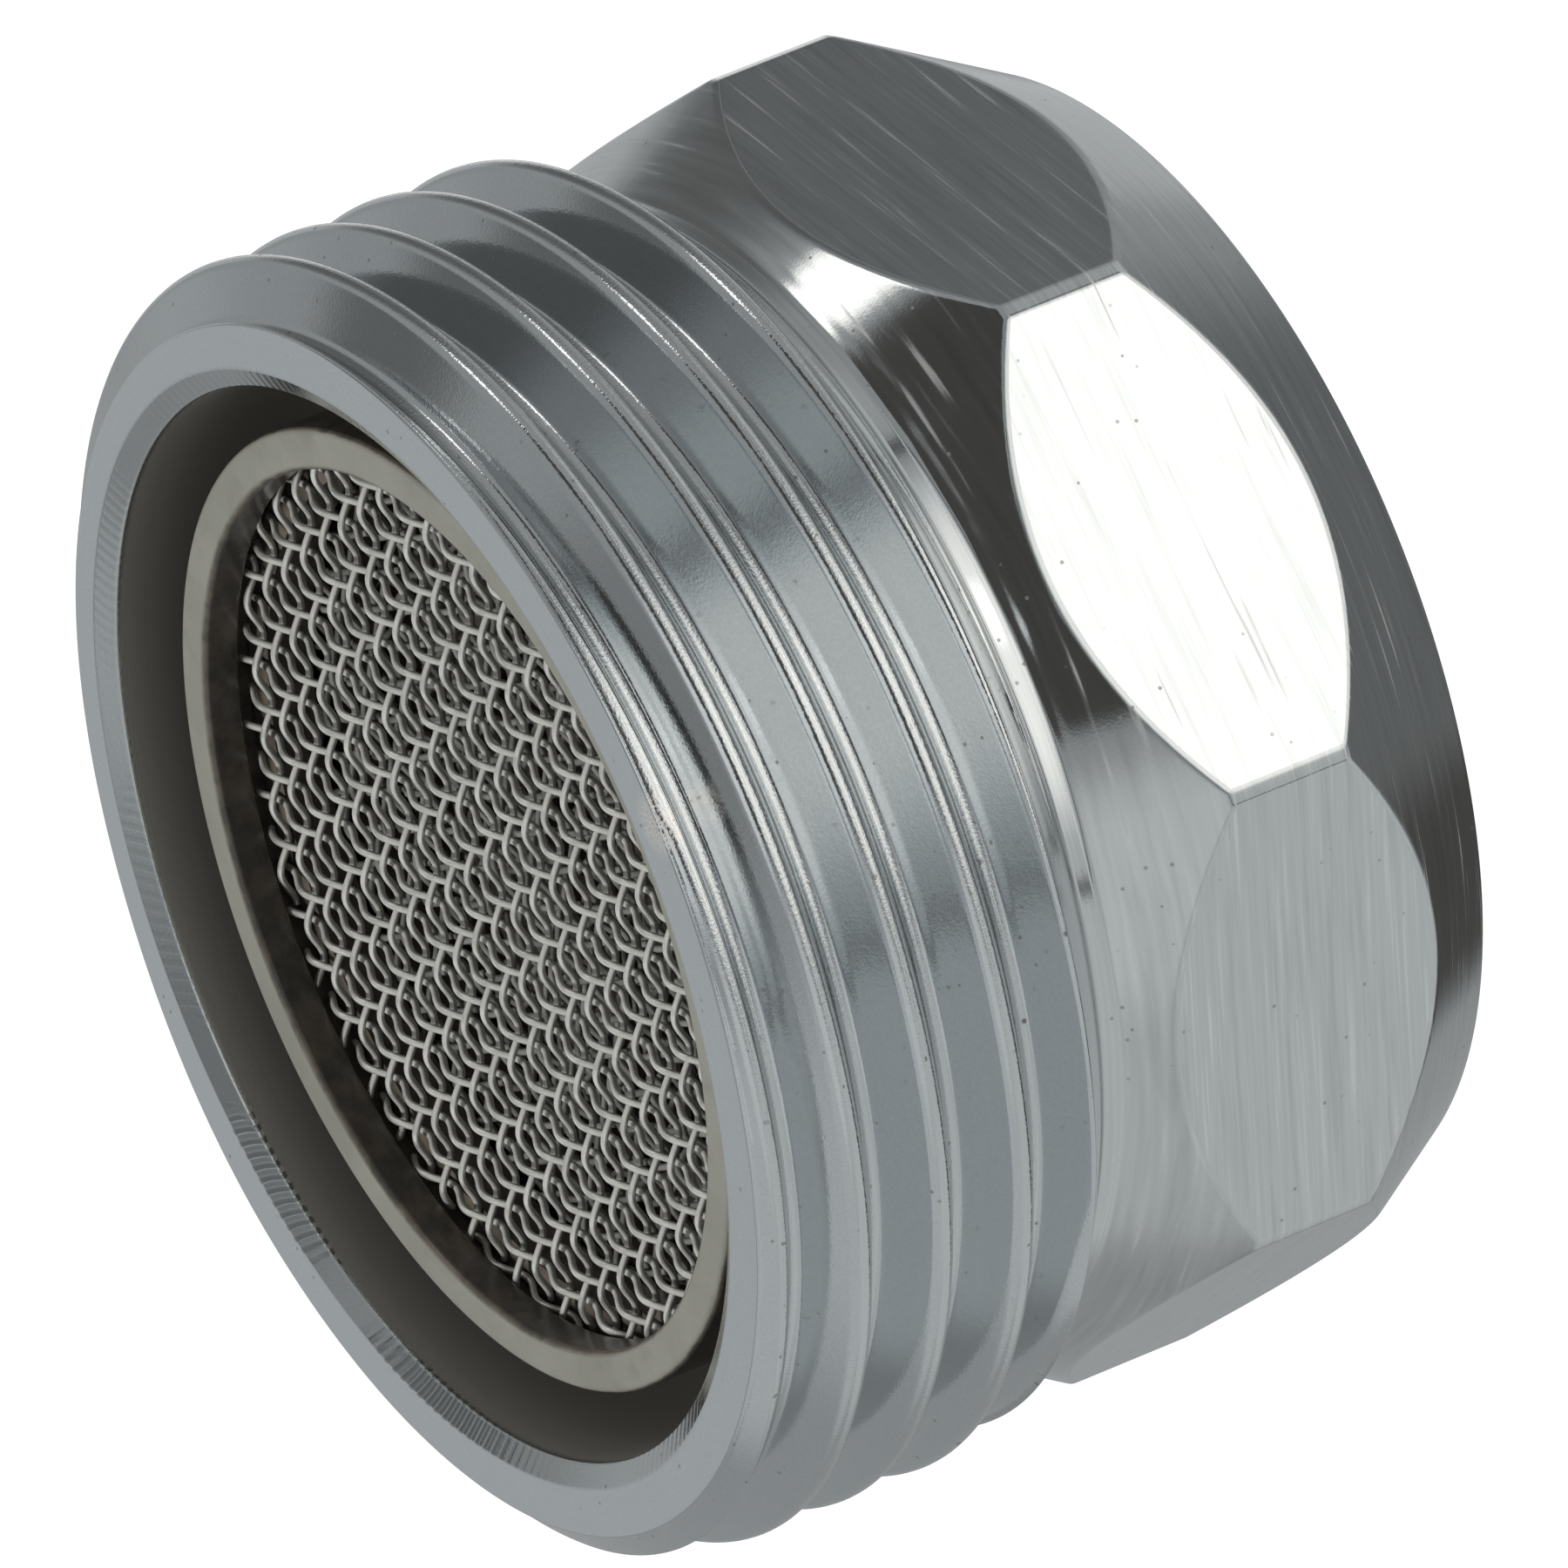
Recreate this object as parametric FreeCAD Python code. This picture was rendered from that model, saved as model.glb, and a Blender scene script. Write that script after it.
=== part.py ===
import FreeCAD, Part
import math
import os
from FreeCAD import Vector

# Threaded adapter with a drop-in aerator, in millimetres.
# The flow axis is Z: the inlet end face lies on Z = 0 and the outlet end faces up.

# Overall body
body_height = 17.05
spanner_width = 24.8
corner_diameter = 26.72
flat_count = 8
inlet_rim_diameter = 22.8
inlet_cone_angle = 30.0
corner_land_length = 2.67
outlet_cone_angle = 31.5

# Male pipe thread, 55 degree form, size G3/4, with narrow flats for its small roundings
thread_major_diameter = 26.44
thread_pitch = 1.8143
thread_flank_angle = 27.5
thread_crest_flat = 0.3024
thread_root_flat = 0.3024
thread_phase_angle = 126.8
thread_taper = 0.0
groove_overrun = 0.12

# Relief groove between the thread and the spanner section
relief_depth = 0.21
relief_length = 0.45
relief_chamfer_length = 1.05

# Outlet end face, whose bore leaves a wall under the thread
outlet_wall = 1.1383
outlet_bore_chamfer_width = 0.43
outlet_bore_chamfer_depth = 0.25
outlet_chamfer_width = 0.92
outlet_chamfer_length = 0.85

# Inlet socket for a fine thread M22 x 1: its bore is the crest of the turns, which are too fine to model here
inlet_bore_diameter = 20.92
inlet_thread_length = 4.15
inlet_entry_chamfer = 0.15
seat_groove_diameter = 22.3
seat_height = 7.2
seat_ledge_thickness = 1.2
seat_ledge_width = 0.97

# Insert sleeve
sleeve_clearance = 0.15
sleeve_wall = 0.5
sleeve_length = 9.85
insert_clearance = 0.1
sleeve_flange_thickness = 1.0
lip_thickness = 0.8
lip_width = 0.86
lip_edge_width = 0.32
lip_edge_height = 0.3
air_slot_count = 8
air_slot_width = 4.4
air_slot_height = 2.0
air_slot_gap = 0.9
slot_overrun = 1.0

# Stack of pieces inside the sleeve
stack_clearance = 0.05
screen_thickness = 0.42
screen_count = 3
screen_pitch = 0.8
screen_wire = 0.16
screen_angle = 47.5
outlet_screen_gap = 1.2
outlet_pitches_per_gap = 2
inner_screen_gap = 0.5
inner_pitches_per_gap = 3
spacer_ring_height = 1.0
spacer_ring_wall = 0.7
support_tube_wall = 0.55
jet_disc_thickness = 1.2
jet_slot_count = 20
jet_slot_width = 0.7
jet_slot_inner_radius = 4.2
jet_slot_outer_radius = 7.6
strainer_ledge = 0.85
strainer_wall = 0.3
strainer_depth = 1.7
strainer_base_diameter = 11.0
strainer_gap = 0.9
strainer_gap_pitch = 1.6

# Sealing washer
washer_thickness = 1.8
washer_inner_diameter = 15.6

# Places worked out from the sizes above
corner_radius = corner_diameter / 2
crest_radius = thread_major_diameter / 2
thread_depth = (thread_pitch - thread_crest_flat - thread_root_flat) / (2 * math.tan(math.radians(thread_flank_angle)))
root_radius = crest_radius - thread_depth
relief_radius = root_radius - relief_depth
outlet_land_radius = crest_radius - outlet_chamfer_width
outlet_bore_radius = root_radius - outlet_wall
seat_ledge_radius = outlet_bore_radius - seat_ledge_width
corner_land_low = (corner_radius - inlet_rim_diameter / 2) / math.tan(math.radians(inlet_cone_angle))
corner_land_high = corner_land_low + corner_land_length
relief_low = corner_land_high + (corner_radius - relief_radius) / math.tan(math.radians(outlet_cone_angle))
relief_high = relief_low + relief_length
thread_low = relief_high + relief_chamfer_length
ledge_top = seat_height + seat_ledge_thickness
flange_low = seat_height - sleeve_flange_thickness
flange_radius = inlet_bore_diameter / 2 - insert_clearance
lip_height = flange_low + sleeve_length
sleeve_radius = seat_ledge_radius - sleeve_clearance
sleeve_inner_radius = sleeve_radius - sleeve_wall
lip_inner_radius = sleeve_radius - lip_width
stack_radius = sleeve_inner_radius - stack_clearance
stack_top = lip_height - lip_thickness
screen_step = screen_thickness + spacer_ring_height
outlet_gap_pitch = outlet_pitches_per_gap * screen_pitch
inner_gap_pitch = inner_pitches_per_gap * screen_pitch
screen_lows = [stack_top - screen_thickness - index * screen_step for index in range(screen_count)]
strainer_frame_high = flange_low + jet_disc_thickness
jet_disc_high = strainer_frame_high + jet_disc_thickness
air_slot_low = ledge_top + air_slot_gap


def ring_face(points):
    """Face in the XZ plane from (radius, height) corners."""
    corners = [Vector(radius, 0, height) for radius, height in points]
    return Part.Face(Part.makePolygon(corners + corners[:1]))


def turned(points, angle=360.0):
    """Solid turned about Z from (radius, height) corners."""
    return ring_face(points).revolve(Vector(0, 0, 0), Vector(0, 0, 1), angle)


def tube(outer_radius, inner_radius, low, high):
    """Plain ring between two radii and two heights."""
    return turned([(inner_radius, low), (outer_radius, low), (outer_radius, high), (inner_radius, high)])


def turned_about(shape, angle):
    """Copy of a shape turned about Z."""
    copy = shape.copy()
    copy.rotate(Vector(0, 0, 0), Vector(0, 0, 1), angle)
    return copy


def around(shape, count, start=0.0):
    """Copies of a shape spread evenly about Z."""
    return [turned_about(shape, start + index * 360.0 / count) for index in range(count)]


def gap_grid(pitch, side, limit_radius, low, high):
    """Square holes along Z on a square grid, all of them inside a circle."""
    reach = int(limit_radius / pitch) + 1
    holes = []
    for row in range(-reach, reach + 1):
        for column in range(-reach, reach + 1):
            x = row * pitch + pitch / 2
            y = column * pitch + pitch / 2
            if math.hypot(x, y) + side < limit_radius:
                holes.append(Part.makeBox(side, side, high - low, Vector(x - side / 2, y - side / 2, low)))
    return holes


def spanner_section():
    """Lower half of the body: two cones and the corner land, with the flats cut across them."""
    section = turned([
        (0, 0),
        (inlet_rim_diameter / 2, 0),
        (corner_radius, corner_land_low),
        (corner_radius, corner_land_high),
        (relief_radius, relief_low),
        (relief_radius, relief_high),
        (0, relief_high),
    ])
    side = 2 * corner_radius
    block = Part.makeBox(side, side, relief_high, Vector(spanner_width / 2, -side / 2, 0))
    return section.cut(around(block, flat_count))


def thread_blank():
    """Upper half of the body before threading: the run-in cone, the crest and the lead chamfer."""
    return turned([
        (0, relief_high),
        (relief_radius, relief_high),
        (crest_radius, thread_low),
        (crest_radius, body_height - outlet_chamfer_length),
        (outlet_land_radius, body_height),
        (0, body_height),
    ])


def thread_cutter():
    """Helical groove with straight flanks and a narrow root, wide enough to leave a crest as narrow."""
    root_half = thread_root_flat / 2
    outer_radius = crest_radius + groove_overrun
    outer_half = root_half + (outer_radius - root_radius) * math.tan(math.radians(thread_flank_angle))
    corners = [
        Vector(root_radius, 0, -root_half),
        Vector(root_radius, 0, root_half),
        Vector(outer_radius, 0, outer_half),
        Vector(outer_radius, 0, -outer_half),
    ]
    profile = Part.makePolygon(corners + corners[:1])
    # The groove starts in the clear space of the relief and ends one pitch past the outlet face.
    start_height = relief_low - root_half
    helix = Part.makeLongHelix(thread_pitch, body_height + thread_pitch - start_height, root_radius, thread_taper)
    cutter = turned_about(Part.Wire(helix).makePipeShell([profile], True, True), thread_phase_angle)
    cutter.translate(Vector(0, 0, start_height))
    return cutter


def adapter_body():
    """Turned brass body with its male thread, flats, outlet bore, seat ledge and inlet socket."""
    blank = thread_blank().cut(thread_cutter())
    solid = spanner_section().fuse(blank)
    chamfer_low = body_height - outlet_bore_chamfer_depth
    chamfer_radius = outlet_bore_radius + outlet_bore_chamfer_width
    bore = turned([
        (0, 0),
        (inlet_bore_diameter / 2 + inlet_entry_chamfer, 0),
        (inlet_bore_diameter / 2, inlet_entry_chamfer),
        (inlet_bore_diameter / 2, inlet_entry_chamfer + inlet_thread_length),
        (seat_groove_diameter / 2, inlet_entry_chamfer + inlet_thread_length),
        (seat_groove_diameter / 2, seat_height),
        (seat_ledge_radius, seat_height),
        (seat_ledge_radius, ledge_top),
        (outlet_bore_radius, ledge_top),
        (outlet_bore_radius, chamfer_low),
        (chamfer_radius, body_height),
        (0, body_height),
    ])
    return solid.cut(bore)


def aerator_sleeve():
    """Flanged cup whose lip turns in over the screens, with air slots in its wall."""
    shell = turned([
        (sleeve_inner_radius, flange_low),
        (flange_radius, flange_low),
        (flange_radius, seat_height),
        (sleeve_radius, seat_height),
        (sleeve_radius, lip_height - lip_edge_height),
        (sleeve_radius - lip_edge_width, lip_height),
        (lip_inner_radius, lip_height),
        (lip_inner_radius, stack_top),
        (sleeve_inner_radius, stack_top),
    ])
    return shell.cut(air_slots(sleeve_inner_radius, sleeve_wall))


def air_slots(inner_radius, wall):
    """Boxes through a wall of the insert, in line with each other from one wall to the next."""
    slot = Part.makeBox(wall + 2 * slot_overrun, air_slot_width, air_slot_height,
                        Vector(inner_radius - slot_overrun, -air_slot_width / 2, air_slot_low))
    return around(slot, air_slot_count)


def woven_screen(low, gap_pitch, gap):
    """Wire cloth as one wall in a flat rim: ridges along one way, with rows of gaps between them."""
    high = low + screen_thickness
    cloth_radius = lip_inner_radius
    groove_width = gap_pitch - screen_wire
    groove_depth = (screen_thickness - screen_wire) / 2
    half_count = int(cloth_radius / gap_pitch)
    grooves = []
    for index in range(-half_count - 1, half_count + 1):
        side = index * gap_pitch + screen_wire / 2
        groove = Part.makeBox(2 * cloth_radius, groove_width, groove_depth,
                              Vector(-cloth_radius, side, high - groove_depth))
        grooves.append(groove)
    field = Part.makeCylinder(cloth_radius, screen_thickness, Vector(0, 0, low))
    ribbed = Part.makeCylinder(stack_radius, screen_thickness, Vector(0, 0, low))
    ribbed = ribbed.cut([groove.common(field) for groove in grooves])
    gaps = gap_grid(gap_pitch, gap, cloth_radius, low, high)
    return turned_about(ribbed.cut(gaps), screen_angle)


def support_tube():
    """Tube that carries the screens on the jet disc, with windows beside the air slots."""
    body = tube(stack_radius, stack_radius - support_tube_wall, jet_disc_high, screen_lows[-1])
    return body.cut(air_slots(stack_radius - support_tube_wall, support_tube_wall))


def jet_disc():
    """Plate on the strainer frame, whose narrow radial slots make the jets."""
    plate = Part.makeCylinder(stack_radius, jet_disc_thickness, Vector(0, 0, strainer_frame_high))
    slot = Part.makeBox(jet_slot_outer_radius - jet_slot_inner_radius, jet_slot_width, jet_disc_thickness,
                        Vector(jet_slot_inner_radius, -jet_slot_width / 2, strainer_frame_high))
    return plate.cut(around(slot, jet_slot_count))


def strainer_frame():
    """Ring between the washer and the jet disc, which holds the rim of the strainer."""
    return tube(stack_radius, stack_radius - strainer_ledge, flange_low, strainer_frame_high)


def strainer_mesh():
    """Wire cloth pressed into a shallow dish that stands out towards the inlet, with its rim in the frame."""
    edge_radius = stack_radius - strainer_ledge
    base_radius = strainer_base_diameter / 2
    base_low = strainer_frame_high - strainer_depth
    base_high = base_low + strainer_wall
    dish = turned([
        (0, base_low),
        (base_radius, base_low),
        (edge_radius, strainer_frame_high - strainer_wall),
        (edge_radius, strainer_frame_high),
        (base_radius, base_high),
        (0, base_high),
    ])
    return dish.cut(gap_grid(strainer_gap_pitch, strainer_gap, base_radius, base_low, base_high))


def sealing_washer():
    """Flat rubber ring under the flange of the sleeve."""
    return tube(flange_radius, washer_inner_diameter / 2, flange_low - washer_thickness, flange_low)


def spacer_ring(high):
    """Ring between two screens."""
    return tube(stack_radius, stack_radius - spacer_ring_wall, high - spacer_ring_height, high)


pieces = {
    "adapter_body": adapter_body(),
    "aerator_sleeve": aerator_sleeve(),
    "outlet_screen": woven_screen(screen_lows[0], outlet_gap_pitch, outlet_screen_gap),
    "outer_spacer_ring": spacer_ring(screen_lows[0]),
    "middle_screen": woven_screen(screen_lows[1], inner_gap_pitch, inner_screen_gap),
    "inner_spacer_ring": spacer_ring(screen_lows[1]),
    "inner_screen": woven_screen(screen_lows[2], inner_gap_pitch, inner_screen_gap),
    "support_tube": support_tube(),
    "jet_disc": jet_disc(),
    "strainer_frame": strainer_frame(),
    "strainer_mesh": strainer_mesh(),
    "sealing_washer": sealing_washer(),
}

os.makedirs("parts", exist_ok=True)
for node, shape in pieces.items():
    box = shape.BoundBox
    print(node, "solids", len(shape.Solids), "faces", len(shape.Faces), "valid", shape.isValid(),
          "volume", round(shape.Volume, 2), "z", round(box.ZMin, 3), round(box.ZMax, 3))
    shape.exportStep("parts/" + node + ".step")
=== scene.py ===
import math

import bmesh
import bpy
import numpy as np
from bpy.props import FloatProperty, FloatVectorProperty, IntProperty, PointerProperty
from mathutils import Matrix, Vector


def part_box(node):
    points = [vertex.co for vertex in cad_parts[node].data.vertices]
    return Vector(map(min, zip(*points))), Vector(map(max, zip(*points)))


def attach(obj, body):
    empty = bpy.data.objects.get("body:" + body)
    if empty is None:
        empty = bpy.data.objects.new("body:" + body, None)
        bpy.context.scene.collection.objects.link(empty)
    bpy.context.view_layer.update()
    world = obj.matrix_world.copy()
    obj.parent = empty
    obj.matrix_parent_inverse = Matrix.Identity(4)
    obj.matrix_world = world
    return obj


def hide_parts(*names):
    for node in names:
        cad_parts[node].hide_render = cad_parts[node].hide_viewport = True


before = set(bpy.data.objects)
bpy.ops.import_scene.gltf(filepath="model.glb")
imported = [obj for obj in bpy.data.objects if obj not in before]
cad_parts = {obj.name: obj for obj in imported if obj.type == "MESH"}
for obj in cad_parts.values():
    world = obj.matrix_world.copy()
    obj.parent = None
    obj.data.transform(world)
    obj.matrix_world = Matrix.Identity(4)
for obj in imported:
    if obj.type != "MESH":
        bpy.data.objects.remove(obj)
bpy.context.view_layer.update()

bl_info = {
    "name": "Threaded adapter with aerator",
    "version": (1, 0, 0),
    "blender": (4, 5, 0),
    "location": "View3D > Sidebar > Adapter",
    "description": "Builds the fine surfaces and finishes of the adapter around its solid parts",
    "category": "Object",
}

MM = 0.001
BODY_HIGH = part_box("adapter_body")[1]


def length(name, description, millimetres):
    """A length property whose default is given in millimetres."""
    return FloatProperty(name=name, description=description, default=millimetres * MM, min=0.0,
                         precision=5, subtype="DISTANCE", unit="LENGTH")


def angle(name, description, degrees):
    """An angle property whose default is given in degrees."""
    return FloatProperty(name=name, description=description, default=math.radians(degrees),
                         subtype="ANGLE", unit="ROTATION")


def colour(name, description, red, green, blue):
    """A colour property."""
    return FloatVectorProperty(name=name, description=description, default=(red, green, blue),
                               min=0.0, max=1.0, size=3, subtype="COLOR")


class AdapterBodySizes(bpy.types.PropertyGroup):
    """Sizes of the turned body."""

    height: FloatProperty(name="Height", description="Length of the body along its axis",
                          default=BODY_HIGH.z, subtype="DISTANCE", unit="LENGTH")
    spanner_width: length("Spanner width", "Distance across two opposite flats", 24.8)
    corner_diameter: length("Corner diameter", "Diameter over the turned corners", 26.72)
    inlet_rim_diameter: length("Inlet rim diameter", "Outer diameter of the inlet end face", 22.8)
    inlet_cone: angle("Inlet cone", "Slope of the cone behind the flats", 30.0)
    outlet_cone: angle("Outlet cone", "Slope of the cone in front of the flats", 31.5)
    corner_low: length("Corner start", "Height at which the turned corners start", 3.3948)
    corner_high: length("Corner end", "Height at which the turned corners end", 6.0648)
    relief_low: length("Relief start", "Height at which the relief starts", 8.5322)
    relief_high: length("Relief end", "Height at which the relief ends", 8.9822)
    relief_radius: length("Relief radius", "Radius of the relief groove", 11.8484)
    thread_low: length("Thread start", "Height at which the crest has its full diameter", 10.0322)
    major_radius: length("Major radius", "Radius of the male thread's crest", 13.22)
    root_radius: length("Root radius", "Radius of the male thread's root", 12.0584)
    pitch: length("Pitch", "Rise of the male thread in one turn", 1.8143)
    flank: angle("Flank angle", "Slope of the male thread's flanks", 27.5)
    thread_round: length("Thread rounding", "Radius of the male thread's rounded crest and root", 0.2492)
    groove_phase: length("Groove phase", "Height of the groove's centre at angle zero, within one pitch",
                         2.299)
    lead_width: length("Lead chamfer width", "Width of the lead chamfer", 0.92)
    lead_length: length("Lead chamfer length", "Length of the lead chamfer", 0.85)
    bore_radius: length("Bore radius", "Radius of the outlet bore", 10.92)
    bore_chamfer_width: length("Bore chamfer width", "Width of the chamfer of the outlet bore", 0.43)
    bore_chamfer_depth: length("Bore chamfer depth", "Depth of the chamfer of the outlet bore", 0.25)
    ledge_high: length("Ledge top", "Height of the top of the seat ledge", 8.4)
    ledge_low: length("Ledge bottom", "Height of the underside of the seat ledge", 7.2)
    ledge_radius: length("Ledge radius", "Inner radius of the seat ledge", 9.95)
    seat_groove_radius: length("Seat groove radius", "Radius of the groove above the inlet thread", 11.15)
    seat_groove_low: length("Seat groove start", "Height at which the seat groove starts", 4.3)
    inlet_radius: length("Inlet radius", "Radius over the turns of the inlet thread", 10.46)
    inlet_groove: length("Inlet groove depth", "Depth of the turns of the inlet thread", 0.5)
    inlet_pitch: length("Inlet pitch", "Rise of the inlet thread in one turn", 1.0)
    entry_chamfer: length("Entry chamfer", "Chamfer of the inlet bore", 0.15)


class AdapterScreenSizes(bpy.types.PropertyGroup):
    """Sizes of the wire cloth."""

    radius: length("Radius", "Radius of the screens", 9.25)
    wire: length("Wire", "Diameter of the wire", 0.15)
    weft_pitch: length("Weft pitch", "Distance between crossings along the weft", 0.836)
    warp_pitch: length("Warp pitch", "Distance between crossings along the warp", 0.753)
    weft_angle: angle("Weft angle", "Direction of the weft wires", 45.3)
    warp_angle: angle("Warp angle", "Direction of the warp wires", 139.7)
    strainer_pitch: length("Strainer pitch", "Distance between the wires of the strainer", 0.62)
    strainer_wire: length("Strainer wire", "Diameter of the wire of the strainer", 0.2)
    strainer_base: length("Strainer base", "Radius of the flat base of the strainer", 5.5)


class AdapterSleeveSizes(bpy.types.PropertyGroup):
    """Sizes of the sleeve of the insert."""

    flange_low: length("Flange start", "Height of the underside of the flange", 6.2)
    flange_high: length("Flange end", "Height of the top of the flange", 7.2)
    flange_radius: length("Flange radius", "Radius of the flange", 10.36)
    outer_radius: length("Outer radius", "Outer radius of the wall", 9.8)
    inner_radius: length("Inner radius", "Inner radius of the wall", 9.3)
    lip_low: length("Lip start", "Height of the underside of the lip", 15.25)
    lip_high: length("Lip end", "Height of the top of the lip", 16.05)
    lip_radius: length("Lip radius", "Inner radius of the lip", 8.94)
    lip_round: length("Lip rounding", "Radius of the rounded outer edge of the lip", 0.14)
    slot_count: IntProperty(name="Air slots", description="Number of air slots round the wall",
                            default=8, min=1)
    slot_width: length("Air slot width", "Width of an air slot", 4.4)
    slot_low: length("Air slot start", "Height at which the air slots start", 9.3)
    slot_high: length("Air slot end", "Height at which the air slots end", 11.3)


class AdapterFinishColours(bpy.types.PropertyGroup):
    """Colours of the finishes."""

    chrome: colour("Chrome", "Colour of the plated brass", 0.635, 0.655, 0.655)
    bare: colour("Bare bore", "Colour of the dull metal inside the bore", 0.46, 0.45, 0.415)
    steel: colour("Steel wire", "Colour of the wire cloth", 0.86, 0.85, 0.79)
    plastic: colour("Plastic", "Colour of the insert's plastic", 0.222, 0.222, 0.19)
    rubber: colour("Rubber", "Colour of the sealing washer", 0.018, 0.018, 0.018)
    floor: colour("Floor", "Colour of the floor", 0.9, 0.9, 0.9)


# Number of spanner flats, and the angle in degrees that each takes
FLATS = 8
FLAT_ANGLE = 360.0 / FLATS
# Fillets of the edges, from the sharpest to the softest
SHARP_EDGE = 0.04 * MM
SMALL_EDGE = 0.06 * MM
ROUND_EDGE = 0.1 * MM
LIP_EDGE = 0.14 * MM
# Distance from a bend at which one more row keeps the long face beside it shaded flat
GUARD = 0.03 * MM
# Distances in metres within which points are merged, on turned pieces and on wires
MERGE = 1e-7
WIRE_MERGE = 1e-9


def smooth_min(a, b, k):
    """Lower of two values, blended over a width k.

    It is min(a, b) - h * h * k / 4, where h = max(k - |a - b|, 0) / k.
    """
    h = np.maximum(k - np.abs(a - b), 0.0) / k
    return np.minimum(a, b) - h * h * k / 4


def smooth_max(a, b, k):
    """Higher of two values, blended over a width k: the blended lower of both negated, negated again."""
    return -smooth_min(-a, -b, k)


def filleted(corners, steps=5):
    """Profile rows (radius, height) through corners (radius, height, fillet), the ends as they are.

    At a corner p with unit vectors a and b towards its neighbours and the angle t between them, the arc of
    radius f has its centre at p + f * (a + b) / (|a + b| * sin(t / 2)) and touches both sides at
    f / tan(t / 2) from p. One more point stands a guard length outside each end of the arc.
    """
    points = np.array([corner[:2] for corner in corners], float)
    rows = [points[:1]]
    for index in range(1, len(points) - 1):
        here, fillet = points[index], corners[index][2]
        a = points[index - 1] - here
        b = points[index + 1] - here
        a, b = a / np.linalg.norm(a), b / np.linalg.norm(b)
        half = math.acos(float(np.clip(a @ b, -1, 1))) / 2
        reach = fillet / math.tan(half)
        centre = here + (a + b) / np.linalg.norm(a + b) * fillet / math.sin(half)
        start, end = (here + a * reach - centre) / fillet, (here + b * reach - centre) / fillet
        sweep = math.pi - 2 * half
        part = np.linspace(0, 1, steps + 1)[:, None]
        leave, enter = np.sin((1 - part) * sweep), np.sin(part * sweep)
        arc = centre + fillet * (leave * start + enter * end) / math.sin(sweep)
        rows += [(here + a * (reach + GUARD))[None], arc, (here + b * (reach + GUARD))[None]]
    rows.append(points[-1:])
    return np.concatenate(rows)


def turned_rows(profile, columns):
    """Rows of a turned surface: radius and height of each profile point, repeated for every column."""
    return (np.repeat(profile[:, :1], columns, axis=1), np.repeat(profile[:, 1:], columns, axis=1))


def polar_points(radius, height, turn):
    """Points (r cos t, r sin t, z) for rows of radii r and heights z, with the angle t of each column."""
    turn = np.broadcast_to(turn, radius.shape)
    return np.stack([radius * np.cos(turn), radius * np.sin(turn), height], axis=-1)


def grid_quads(rows, columns, wrap_rows=False, wrap_columns=False):
    """Four corner numbers of each cell of a grid numbered row by row."""
    row = np.arange(rows if wrap_rows else rows - 1)[:, None]
    column = np.arange(columns if wrap_columns else columns - 1)[None, :]
    next_row, next_column = (row + 1) % rows, (column + 1) % columns
    cells = [row * columns + column, row * columns + next_column,
             next_row * columns + next_column, next_row * columns + column]
    return np.stack(np.broadcast_arrays(*cells), axis=-1).reshape(-1, 4)


def put_piece(name, points, quads, replaced, slot, merge=MERGE):
    """Makes a smooth closed piece from points and quads, and sets it in its node's place with its finish.

    Points that coincide are merged. The height of each point's normal is kept as the attribute upward.
    """
    mesh = bpy.data.meshes.new(name)
    mesh.from_pydata(points.reshape(-1, 3), [], quads)
    shape = bmesh.new()
    shape.from_mesh(mesh)
    bmesh.ops.remove_doubles(shape, verts=shape.verts, dist=merge)
    bmesh.ops.dissolve_degenerate(shape, edges=shape.edges, dist=merge)
    bmesh.ops.recalc_face_normals(shape, faces=shape.faces)
    if shape.calc_volume(signed=True) < 0:
        bmesh.ops.reverse_faces(shape, faces=shape.faces)
    shape.to_mesh(mesh)
    shape.free()
    if not mesh.polygons:
        raise RuntimeError("No faces were made for " + name)
    mesh.shade_smooth()
    normals = np.empty(3 * len(mesh.vertices))
    mesh.vertex_normals.foreach_get("vector", normals)
    upward = mesh.attributes.new("upward", "FLOAT", "POINT")
    upward.data.foreach_set("value", normals[2::3])
    piece = bpy.data.objects.new(name, mesh)
    bpy.context.scene.collection.objects.link(piece)
    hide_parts(*replaced)
    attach(piece, "root")
    give_finish(piece, slot)


def octant_angles():
    """Column angles of the body: the flats, each with close columns at the edges of its turned corners."""
    flat_end = 21.4
    corner_columns = np.array([21.6, 21.75, 21.85, 21.95, 22.15])
    inner = np.linspace(-flat_end, flat_end, 29)
    one = np.concatenate([[-FLAT_ANGLE / 2], -corner_columns[::-1], inner, corner_columns])
    turns = (one[None, :] + FLAT_ANGLE * np.arange(FLATS)[:, None]).ravel()
    return np.radians(np.concatenate([turns, [360.0 - FLAT_ANGLE / 2]]))


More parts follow.
